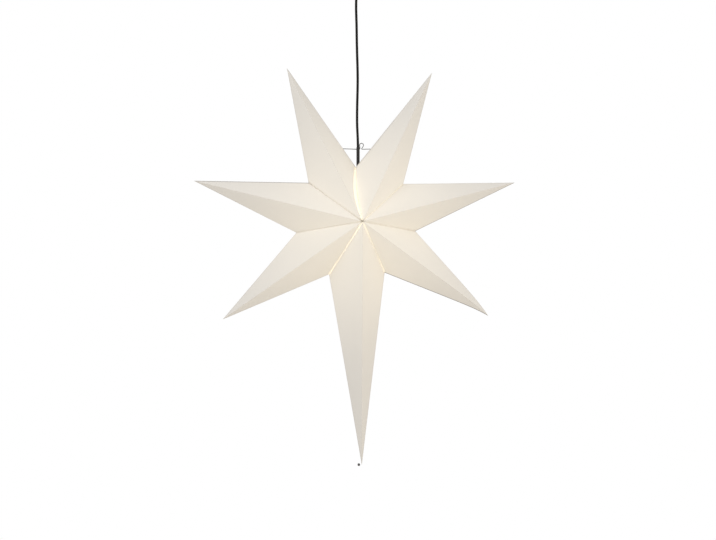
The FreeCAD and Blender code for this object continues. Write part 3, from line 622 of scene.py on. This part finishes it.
def panel_tree() -> bpy.types.NodeTree:
    """Build the group that makes one flat-folded panel with a slight bow.

    Returns:
        A geometry group. Its mesh carries its distances to the side fold, the ridge and
        the glued valley, and the amounts of painted shade on its edge and painted glow on its seam.
    """
    zero = (0.0, 0.0, 0.0)
    graph, given, out = new_group(
        "folded_panel", "GeometryNodeTree",
        {"Peak": zero, "Corner": zero, "Tip": zero, "Middle": zero, "Slip": zero, "Seam Bow": zero,
         "Curl": zero, "Bow": 0.001, "Edge Shade": 0.0, "Seam Light": 0.0},
        {"Geometry": "NodeSocketGeometry"})
    grid = graph.add("GeometryNodeMeshGrid", {
        "Size X": 1.0, "Size Y": 1.0, "Vertices X": 49, "Vertices Y": 17})
    spot = graph.add("ShaderNodeSeparateXYZ", {0: graph.add("GeometryNodeInputPosition").outputs[0]})
    along = graph.scalar("ADD", spot.outputs[0], 0.5)
    across = graph.scalar("ADD", spot.outputs[1], 0.5)
    back = graph.scalar("SUBTRACT", 1.0, along)
    ridge = graph.between(given["Peak"], given["Tip"], along)
    slip = graph.scale(given["Slip"], graph.scalar("POWER", back, 9.0))
    side = graph.vector("ADD", graph.between(given["Corner"], given["Tip"], along), slip)
    flat = graph.between(ridge, side, across)
    both = graph.scalar("MULTIPLY", across, graph.scalar("SUBTRACT", 1.0, across))
    hump = graph.scalar("MULTIPLY", both, 4.0)
    facing = graph.vector("CROSS_PRODUCT", graph.vector("SUBTRACT", given["Tip"], given["Peak"]),
                          graph.vector("SUBTRACT", given["Corner"], given["Peak"]))
    out_of_middle = graph.vector("SUBTRACT", given["Peak"], given["Middle"])
    sign = graph.scalar("SIGN", graph.vector("DOT_PRODUCT", facing, out_of_middle))
    outward = graph.scale(graph.vector("NORMALIZE", facing), sign)
    arch = graph.scalar("MULTIPLY", graph.scalar("MULTIPLY", hump, back), given["Bow"])
    waves = graph.add("ShaderNodeTexNoise", {"Vector": flat, "Scale": WAVES_PER_METRE, "Detail": 1.0})
    unrest = waves.outputs["Fac"]
    unrest = graph.scalar("MULTIPLY", graph.scalar("SUBTRACT", unrest, 0.5), WAVE_SIZE)
    unrest = graph.scalar("MULTIPLY", graph.scalar("MULTIPLY", unrest, hump), back)
    bowed = graph.vector("ADD", flat, graph.scale(outward, graph.scalar("ADD", arch, unrest)))
    pull = graph.scalar("MULTIPLY", hump, graph.scalar("POWER", back, 7.0))
    bowed = graph.vector("ADD", bowed, graph.scale(given["Seam Bow"], pull))
    curled = graph.vector("ADD", bowed, graph.scale(given["Curl"], graph.scalar("POWER", along, 9.0)))
    mesh = store_marks(graph, grid.outputs["Mesh"], {
        "side_gap": graph.line_gap(flat, given["Tip"], given["Corner"]),
        "ridge_gap": graph.line_gap(flat, given["Tip"], given["Peak"]),
        "valley_gap": graph.line_gap(flat, given["Peak"], given["Corner"]),
        "edge_shade": given["Edge Shade"],
        "seam_light": given["Seam Light"],
    })
    moved = graph.add("GeometryNodeSetPosition", {"Geometry": mesh, "Position": curled})
    turned = graph.add("GeometryNodeFlipFaces", {"Mesh": moved.outputs[0]})
    graph.feed(turned.inputs["Selection"], graph.scalar("LESS_THAN", sign, 0.0))
    graph.feed(out.inputs["Geometry"], turned.outputs[0])
    return graph.tree


def flange_tree() -> bpy.types.NodeTree:
    """Build the group that makes one glue flange along a valley edge.

    Returns:
        A geometry group.
    """
    zero = (0.0, 0.0, 0.0)
    graph, given, out = new_group(
        "glue_flange", "GeometryNodeTree",
        {"Peak": zero, "Corner": zero, "Centre": zero, "Tip": zero, "Seam Bow": zero, "Lean": zero,
         "Width": 0.008, "Start": 0.1, "End": 0.97, "Seam Light": 0.0},
        {"Geometry": "NodeSocketGeometry"})
    grid = graph.add("GeometryNodeMeshGrid", {
        "Size X": 1.0, "Size Y": 1.0, "Vertices X": 5, "Vertices Y": 26})
    spot = graph.add("ShaderNodeSeparateXYZ", {0: graph.add("GeometryNodeInputPosition").outputs[0]})
    inwards = graph.scalar("ADD", spot.outputs[0], 0.5)
    along = graph.scalar("ADD", spot.outputs[1], 0.5)
    span = graph.scalar("SUBTRACT", given["End"], given["Start"])
    share = graph.scalar("ADD", given["Start"], graph.scalar("MULTIPLY", span, along))
    edge = graph.vector("SUBTRACT", given["Corner"], given["Peak"])
    to_centre = graph.vector("SUBTRACT", given["Centre"], given["Peak"])
    along_edge = graph.vector("PROJECT", to_centre, edge)
    inner = graph.vector("NORMALIZE", graph.vector("SUBTRACT", to_centre, along_edge))
    side = graph.vector("NORMALIZE", graph.vector("CROSS_PRODUCT", edge, inner))
    to_tip = graph.vector("SUBTRACT", given["Tip"], given["Peak"])
    sign = graph.scalar("SIGN", graph.vector("DOT_PRODUCT", side, to_tip))
    ends = graph.scalar("MINIMUM", along, graph.scalar("SUBTRACT", 1.0, along))
    taper = graph.scalar("MULTIPLY", ends, 12.0, clamp=True)
    width = graph.scalar("MULTIPLY", graph.scalar("MULTIPLY", inwards, taper), given["Width"])
    fall = graph.vector("NORMALIZE", graph.vector("ADD", inner, given["Lean"]))
    on_edge = graph.vector("ADD", given["Peak"], graph.scale(edge, share))
    place = graph.vector("ADD", on_edge, graph.scale(fall, width))
    both = graph.scalar("MULTIPLY", share, graph.scalar("SUBTRACT", 1.0, share))
    hump = graph.scalar("MULTIPLY", both, 4.0)
    place = graph.vector("ADD", place, graph.scale(given["Seam Bow"], hump))
    place = graph.vector("ADD", place, graph.scale(side, graph.scalar("MULTIPLY", sign, 0.0003)))
    # The flange carries the seam's painted glow and no painted edge shade.
    mesh = store_marks(graph, grid.outputs["Mesh"], {
        "side_gap": 0.05, "ridge_gap": 0.05, "valley_gap": 0.0, "edge_shade": 0.0,
        "seam_light": given["Seam Light"],
    })
    moved = graph.add("GeometryNodeSetPosition", {"Geometry": mesh, "Position": place})
    turned = graph.add("GeometryNodeFlipFaces", {"Mesh": moved.outputs[0]})
    graph.feed(turned.inputs["Selection"], graph.scalar("LESS_THAN", sign, 0.0))
    graph.feed(out.inputs["Geometry"], turned.outputs[0])
    return graph.tree


def point_tree(panel: bpy.types.NodeTree, flange: bpy.types.NodeTree) -> bpy.types.NodeTree:
    """Build the tree that folds one whole point of the star.

    Args:
        panel: the panel group.
        flange: the flange group.

    Returns:
        A geometry tree that ends in Realize Instances and Set Material.
    """
    zero = (0.0, 0.0, 0.0)
    places = ("Front", "Back", "Centre", "Tip", "Left", "Right", "Curl")
    given_sockets: dict[str, Any] = {name: zero for name in places}
    for peak in ("Front", "Back"):
        for side in ("Left", "Right"):
            given_sockets[f"{peak} {side} Slip"] = zero
    for side in ("Left", "Right"):
        given_sockets.update({f"{side} Bow": zero, f"{side} Lean": zero, f"{side} Flange": 0.008,
                              f"{side} Shade": 0.0, f"{side} Light": 0.0})
    graph, given, out = new_group(
        "folded_point", "GeometryNodeTree",
        {**given_sockets, "Panel Bow": 0.0012, "Card": "NodeSocketMaterial"},
        {"Geometry": "NodeSocketGeometry"})
    middle = graph.between(given["Centre"], given["Tip"], 0.35)
    panels = graph.add("GeometryNodeJoinGeometry")
    flanges = graph.add("GeometryNodeJoinGeometry")
    for peak in ("Front", "Back"):
        for side in ("Left", "Right"):
            shown = {"Peak": given[peak], "Corner": given[side], "Tip": given["Tip"],
                     "Seam Light": given[f"{side} Light"]}
            pulled = {"Seam Bow": given[f"{side} Bow"]} if peak == "Front" else {}
            made = use_group(graph, panel, {
                **shown, **pulled, "Middle": middle, "Slip": given[f"{peak} {side} Slip"],
                "Curl": given["Curl"], "Bow": given["Panel Bow"], "Edge Shade": given[f"{side} Shade"]})
            graph.tree.links.new(made.outputs[0], panels.inputs[0])
            leaning = {}
            if peak == "Front":
                leaning = {"Lean": given[f"{side} Lean"], "Width": given[f"{side} Flange"]}
            strip = use_group(graph, flange, {**shown, **pulled, **leaning, "Centre": given["Centre"]})
            graph.tree.links.new(strip.outputs[0], flanges.inputs[0])
    merged = graph.add("GeometryNodeMergeByDistance", {"Geometry": panels.outputs[0], "Distance": 0.00002})
    whole = graph.add("GeometryNodeJoinGeometry")
    graph.tree.links.new(merged.outputs[0], whole.inputs[0])
    graph.tree.links.new(flanges.outputs[0], whole.inputs[0])
    real = graph.add("GeometryNodeRealizeInstances", {"Geometry": whole.outputs[0]})
    dressed = graph.add("GeometryNodeSetMaterial", {"Geometry": real.outputs[0], "Material": given["Card"]})
    graph.feed(out.inputs["Geometry"], dressed.outputs[0])
    return graph.tree


@dataclass(frozen=True)
class Edge:
    """One side of a point: its outer corner and how the card lies along it."""

    corner: tuple[float, float]
    depth: float = 0.0
    front_slip: Place = (0.0, 0.0, 0.0)
    back_slip: Place = (0.0, 0.0, 0.0)
    bow: Place = (0.0, 0.0, 0.0)
    lean: Place = (0.0, 0.0, 0.0)
    flange: float = 0.008
    # How much painted shade lies along this side's fold, and how much painted glow along its glued seam.
    shade: float = 0.18
    light: float = 0.0


@dataclass(frozen=True)
class PointPlan:
    """Where one point lies, in metres from the star's centre, across and up."""

    node: str
    tip: tuple[float, float]
    left: Edge
    right: Edge
    curl: Place = (0.0, 0.0, 0.0)


@dataclass
class PaperStar:
    """The seven folded points of white card."""

    palette: Palette
    centre: Vector
    half_depth: float = 0.080
    front_shift: tuple[float, float] = (0.0007, -0.0018)
    card_thickness: float = 0.0005
    panel_bow: float = 0.0012

    def plans(self) -> list[PointPlan]:
        """Lay out the points, with the small unevenness that the folded card has.

        Returns:
            One plan for each point.
        """
        low_left, low_right = (-0.0595, -0.1068), (0.0536, -0.1040)
        mid_left, mid_right = (-0.1246, -0.0226), (0.1168, -0.0200)
        upper_left, upper_right = (-0.0996, 0.0770), (0.0918, 0.0755)
        seam = (-0.0044, 0.1085)
        return [
            PointPlan("point_top_left", (-0.1412, 0.3030), Edge(upper_left),
                      Edge(seam, bow=(-0.0120, -0.0131, 0.0), lean=(1.3, 0.7, 0.0), flange=0.0125, shade=0.3,
                           light=1.0)),
            PointPlan("point_top_right", (0.1504, 0.2993),
                      Edge((-0.0050, 0.1085), depth=-0.0085, back_slip=(0.0095, 0.0110, 0.0),
                           bow=(-0.0036, 0.0026, 0.0)),
                      Edge(upper_right, light=0.35)),
            PointPlan("point_right", (0.3238, 0.0792), Edge(upper_right, light=0.35),
                      Edge(mid_right, shade=0.7)),
            PointPlan("point_lower_right", (0.2736, -0.1927), Edge(mid_right),
                      Edge(low_right, shade=1.0, light=0.8), curl=(-0.0039, 0.0, -0.0030)),
            PointPlan("point_long_bottom", (0.0061, -0.5000), Edge(low_right, light=0.8),
                      Edge(low_left, light=1.0)),
            PointPlan("point_lower_left", (-0.2725, -0.1952), Edge(low_left, light=1.0), Edge(mid_left)),
            PointPlan("point_left", (-0.3250, 0.0800), Edge(mid_left), Edge(upper_left, shade=0.85)),
        ]

    def place(self, spot: tuple[float, float], depth: float = 0.0) -> Vector:
        """Put a place of the star's plane into the frame.

        Args:
            spot: across and up from the centre.
            depth: towards the back.

        Returns:
            The point in the frame.
        """
        return self.centre + Vector((spot[0], depth, spot[1]))

    def build(self) -> list[bpy.types.Object]:
        """Fold every point and put it in the place of its CAD node.

        Returns:
            The card pieces.
        """
        tree = point_tree(panel_tree(), flange_tree())
        made = []
        for plan in self.plans():
            values = {
                "Front": self.place(self.front_shift, -self.half_depth),
                "Back": self.place((0.0, 0.0), self.half_depth),
                "Centre": self.centre, "Tip": self.place(plan.tip), "Curl": plan.curl,
                "Panel Bow": self.panel_bow, "Card": self.palette.card,
            }
            for side, edge in (("Left", plan.left), ("Right", plan.right)):
                values.update({
                    side: self.place(edge.corner, edge.depth), f"Front {side} Slip": edge.front_slip,
                    f"Back {side} Slip": edge.back_slip, f"{side} Bow": edge.bow, f"{side} Lean": edge.lean,
                    f"{side} Flange": edge.flange, f"{side} Shade": edge.shade, f"{side} Light": edge.light})
            card = grown_mesh(plan.node.replace("point", "card"), tree, values)
            smooth_by_angle(card, CARD_FOLD_ANGLE)
            card.data.materials.append(self.palette.card_inside)
            wall = card.modifiers.new("card_wall", "SOLIDIFY")
            wall.thickness = self.card_thickness
            wall.offset = -1.0
            wall.thickness_clamp = 1.0
            wall.material_offset = 1
            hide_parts(plan.node)
            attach(card, Body.STAR.value)
            LOG.info("folded %s with %d faces", card.name, len(card.data.polygons))
            made.append(card)
        return made


@dataclass
class HangingCord:
    """The free cord between the ceiling gland and the clip."""

    palette: Palette
    diameter: float = 0.005
    length: float = 0.322
    route: tuple[Place, ...] = (
        (0.0, 0.0, -0.0759),
        (-0.0020, 0.0, -0.0860),
        (-0.0034, 0.0003, -0.1130),
        (-0.0022, 0.0004, -0.1480),
        (-0.0019, -0.0003, -0.1900),
        (-0.0004, -0.0005, -0.2400),
        (-0.0003, 0.0003, -0.2700),
        (-0.0015, 0.0003, -0.3080),
        (-0.0020, -0.0002, -0.3450),
        (-0.0003, 0.0, -0.3760),
        (0.0, 0.0, -0.3980),
    )

    def build(self) -> bpy.types.Object:
        """Returns:
            The cord.
        """
        curve = bpy.data.curves.new("pendant_cord", "CURVE")
        curve.dimensions = "3D"
        curve.bevel_depth = self.diameter / 2
        curve.bevel_resolution = 6
        curve.use_fill_caps = True
        spline = curve.splines.new("NURBS")
        spline.points.add(len(self.route) - 1)
        for point, spot in zip(spline.points, self.route):
            point.co = (*spot, 1.0)
        spline.order_u = 3
        spline.use_endpoint_u = True
        spline.resolution_u = 8
        curve.materials.append(self.palette.solid["sheath"])
        cord = link_object("pendant_cord", curve)
        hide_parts("cord")
        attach(cord, Body.CORD.value)
        LOG.info("hung the cord on %d points", len(self.route))
        return cord


def rib_tree() -> bpy.types.NodeTree:
    """Build the tree that stands grip ribs round a moulding.

    Returns:
        A geometry tree that ends in Realize Instances and Set Material.
    """
    graph, given, out = new_group(
        "grip_ribs", "GeometryNodeTree",
        {"Count": 24, "Radius": 0.008, "Height": 0.006, "Thickness": 0.0006, "Middle": (0.0, 0.0, 0.0),
         "Finish": "NodeSocketMaterial"},
        {"Geometry": "NodeSocketGeometry"})
    ring = graph.add("GeometryNodeMeshCircle", {
        "Vertices": given["Count"], "Radius": given["Radius"]})
    rib = graph.add("GeometryNodeMeshCylinder", {
        "Vertices": 8, "Radius": given["Thickness"], "Depth": given["Height"]})
    placed = graph.add("GeometryNodeInstanceOnPoints", {
        "Points": ring.outputs[0], "Instance": rib.outputs[0]})
    moved = graph.add("GeometryNodeTransform", {
        "Geometry": placed.outputs[0], "Translation": given["Middle"]})
    real = graph.add("GeometryNodeRealizeInstances", {"Geometry": moved.outputs[0]})
    dressed = graph.add("GeometryNodeSetMaterial", {"Geometry": real.outputs[0], "Material": given["Finish"]})
    graph.feed(out.inputs["Geometry"], dressed.outputs[0])
    return graph.tree


def thread_tree() -> bpy.types.NodeTree:
    """Build the tree that winds a rolled thread round a metal cap.

    Returns:
        A geometry tree that ends in Realize Instances and Set Material.
    """
    graph, given, out = new_group(
        "rolled_thread", "GeometryNodeTree",
        {"Turns": 5.0, "Radius": 0.0069, "Height": 0.014, "Roll": 0.0006, "Foot": (0.0, 0.0, 0.0),
         "Finish": "NodeSocketMaterial"},
        {"Geometry": "NodeSocketGeometry"})
    helix = graph.add("GeometryNodeCurveSpiral", {
        "Resolution": 32, "Rotations": given["Turns"], "Start Radius": given["Radius"],
        "End Radius": given["Radius"], "Height": given["Height"]})
    roll = graph.add("GeometryNodeCurvePrimitiveCircle", {"Resolution": 8, "Radius": given["Roll"]})
    swept = graph.add("GeometryNodeCurveToMesh", {
        "Curve": helix.outputs[0], "Profile Curve": roll.outputs[0], "Fill Caps": True})
    moved = graph.add("GeometryNodeTransform", {"Geometry": swept.outputs[0], "Translation": given["Foot"]})
    real = graph.add("GeometryNodeRealizeInstances", {"Geometry": moved.outputs[0]})
    dressed = graph.add("GeometryNodeSetMaterial", {"Geometry": real.outputs[0], "Material": given["Finish"]})
    graph.feed(out.inputs["Geometry"], dressed.outputs[0])
    return graph.tree


@dataclass
class Fittings:
    """The rigid fittings: their CAD meshes with finishes, and the detail on them."""

    palette: Palette
    nodes: dict[str, bpy.types.Object]
    gland_ribs: int = 28
    cap_ribs: int = 40
    thread_pitch: float = 0.00282

    def build(self) -> list[bpy.types.Object]:
        """Dress the CAD nodes and add ribs and threads.

        Returns:
            The added pieces.
        """
        self.dress_nodes()
        return [*self.grow_ribs(), self.wind_thread()]

    def dress_nodes(self) -> None:
        """Give every shown CAD node its finish."""
        for key, names in CAD_FINISHES.items():
            for name in names:
                self.set_finish(name, self.palette.solid[key])
        for name in ("bulb_globe", "bulb_stem"):
            self.set_finish(name, self.palette.glass)
        self.set_finish("hanger_eyelets", self.palette.card)

    def set_finish(self, name: str, material: bpy.types.Material) -> None:
        """Put one material on a CAD node.

        Args:
            name: the node.
            material: its finish.
        """
        for slot in self.nodes[name].material_slots:
            slot.material = material

    def grow_ribs(self) -> list[bpy.types.Object]:
        """Stand the grip ribs round the gland's collar and the holder's cap.

        Returns:
            The two ribbed pieces.
        """
        tree = rib_tree()
        made = []
        for name, node, body, count, radius, height, drop in (
                ("gland_ribs", "cord_gland", Body.CEILING, self.gland_ribs, 0.0080, 0.0066, 0.0175),
                ("holder_cap_ribs", "holder_cap", Body.HOLDER, self.cap_ribs, 0.0140, 0.0100, 0.0225)):
            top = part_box(node)[1].z
            ribs = grown_mesh(name, tree, {
                "Count": count, "Radius": radius - 0.0002, "Height": height, "Thickness": 0.0005,
                "Middle": (0.0, 0.0, top - drop), "Finish": self.palette.solid["black"]})
            smooth_by_angle(ribs, 40.0)
            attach(ribs, body.value)
            LOG.info("stood %d ribs on %s", count, node)
            made.append(ribs)
        return made

    def wind_thread(self) -> bpy.types.Object:
        """Wind the rolled thread round the bulb's cap.

        Returns:
            The thread.
        """
        low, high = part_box("bulb_screw_cap")
        height = 4.5 * self.thread_pitch
        thread = grown_mesh("bulb_thread", thread_tree(), {
            "Turns": 4.5, "Radius": 0.0066, "Height": height, "Roll": 0.0005,
            "Foot": (0.0, 0.0, low.z + 0.0048), "Finish": self.palette.solid["nickel"]})
        smooth_by_angle(thread, 60.0)
        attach(thread, Body.BULB.value)
        LOG.info("wound the bulb's thread below %.3f", high.z)
        return thread


# ------------------------------------------------------------------ the studio


@dataclass(frozen=True)
class SoftLight:
    """One soft square light: where it hangs, its side in metres and its power in watts."""

    name: str
    place: Place
    size: float
    power: float
    colour: Colour


LIGHTS = (
    SoftLight("key_light", (-1.4, -1.9, 0.75), 1.6, 24.0, (1.0, 1.0, 0.99)),
    SoftLight("fill_light", (2.0, -1.3, -0.2), 1.8, 14.0, (1.0, 0.96, 0.88)),
    SoftLight("low_light", (0.6, -1.6, -1.8), 1.8, 5.5, (1.0, 0.76, 0.40)),
    SoftLight("back_light", (0.6, 2.0, 0.2), 1.8, 14.0, (1.0, 0.98, 0.95)),
)


@dataclass
class Studio:
    """Camera, soft lights, white surroundings and a pale floor."""

    target: Vector
    camera_place: Place = (-0.1432, -1.4521, -0.5643)
    camera_right: Place = (0.99520, -0.09779, -0.00260)
    camera_up: Place = (0.00754, 0.05020, 0.99871)
    lens: float = 36.27
    floor_drop: float = 2.4
    floor_radius: float = 2.4
    floor_steps: int = 96
    floor_glow: float = 0.3
    sky_strength: float = 0.53
    sky_colour: Colour = (1.0, 0.985, 0.965)

    def build(self) -> None:
        """Set up the whole studio."""
        self.place_camera()
        for light in LIGHTS:
            self.hang_light(light)
        self.set_world()
        self.lay_floor()
        bpy.context.scene.view_settings.view_transform = "Standard"

    def place_camera(self) -> None:
        """Stand the camera where the photo was taken from."""
        data = bpy.data.cameras.new("photo_camera")
        data.lens = self.lens
        data.sensor_width = 36.0
        data.clip_end = 50.0
        camera = link_object("photo_camera", data)
        right = Vector(self.camera_right).normalized()
        up = (Vector(self.camera_up) - right * right.dot(Vector(self.camera_up))).normalized()
        back = right.cross(up)
        turn = Matrix((right, up, back)).transposed().to_4x4()
        camera.matrix_world = Matrix.Translation(self.camera_place) @ turn
        bpy.context.scene.camera = camera

    def hang_light(self, plan: SoftLight) -> None:
        """Hang one light so that it faces the star.

        Args:
            plan: the light.
        """
        data = bpy.data.lights.new(plan.name, "AREA")
        data.size = plan.size
        data.energy = plan.power
        data.color = plan.colour
        light = link_object(plan.name, data)
        light.location = plan.place
        light.rotation_euler = (self.target - Vector(plan.place)).to_track_quat("-Z", "Y").to_euler()

    def set_world(self) -> None:
        """Make the surroundings white to the eye and gentle as a light."""
        world = bpy.data.worlds.new("white_studio")
        bpy.context.scene.world = world
        world.use_nodes = True
        graph = Graph(world.node_tree)
        world.node_tree.nodes.clear()
        rays = graph.add("ShaderNodeLightPath").outputs
        seen = graph.scalar("MAXIMUM", rays["Is Camera Ray"], rays["Is Glossy Ray"])
        seen = graph.scalar("MAXIMUM", seen, rays["Is Transmission Ray"])
        soft = graph.add("ShaderNodeBackground", {
            "Color": (*self.sky_colour, 1.0), "Strength": self.sky_strength})
        white = graph.add("ShaderNodeBackground", {"Color": (1.0, 1.0, 1.0, 1.0), "Strength": 1.0})
        both = graph.add("ShaderNodeMixShader", {0: seen, 1: soft.outputs[0], 2: white.outputs[0]})
        graph.add("ShaderNodeOutputWorld", {"Surface": both.outputs[0]})

    def lay_floor(self) -> None:
        """Lay the pale floor well below the hanging star."""
        mesh = bpy.data.meshes.new("pale_floor")
        turns = [math.tau * step / self.floor_steps for step in range(self.floor_steps)]
        rim = [(self.floor_radius * math.cos(turn), self.floor_radius * math.sin(turn), -self.floor_drop)
               for turn in turns]
        mesh.from_pydata(rim, [], [tuple(range(self.floor_steps))])
        floor = link_object("pale_floor", mesh)
        material, graph, shader = new_material("pale_floor")
        rays = graph.add("ShaderNodeLightPath").outputs
        shine = graph.scalar("MULTIPLY", rays["Is Camera Ray"], self.floor_glow)
        graph.feed(shader.inputs["Emission Strength"], shine)
        shader.inputs["Emission Color"].default_value = (1.0, 1.0, 1.0, 1.0)
        shader.inputs["Base Color"].default_value = (0.86, 0.86, 0.85, 1.0)
        shader.inputs["Roughness"].default_value = 0.8
        mesh.materials.append(material)


def main() -> None:
    """Load the frame, dress it and set up the studio."""
    logging.basicConfig(level=logging.INFO, format="%(message)s")
    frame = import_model()
    centre = Vector(STAR_CENTRE)
    palette = Palette.build()
    HangingCord(palette).build()
    PaperStar(palette, centre).build()
    Fittings(palette, frame["nodes"]).build()
    Studio(target=centre).build()
    bpy.context.view_layer.update()


if __name__ == "__main__":
    main()
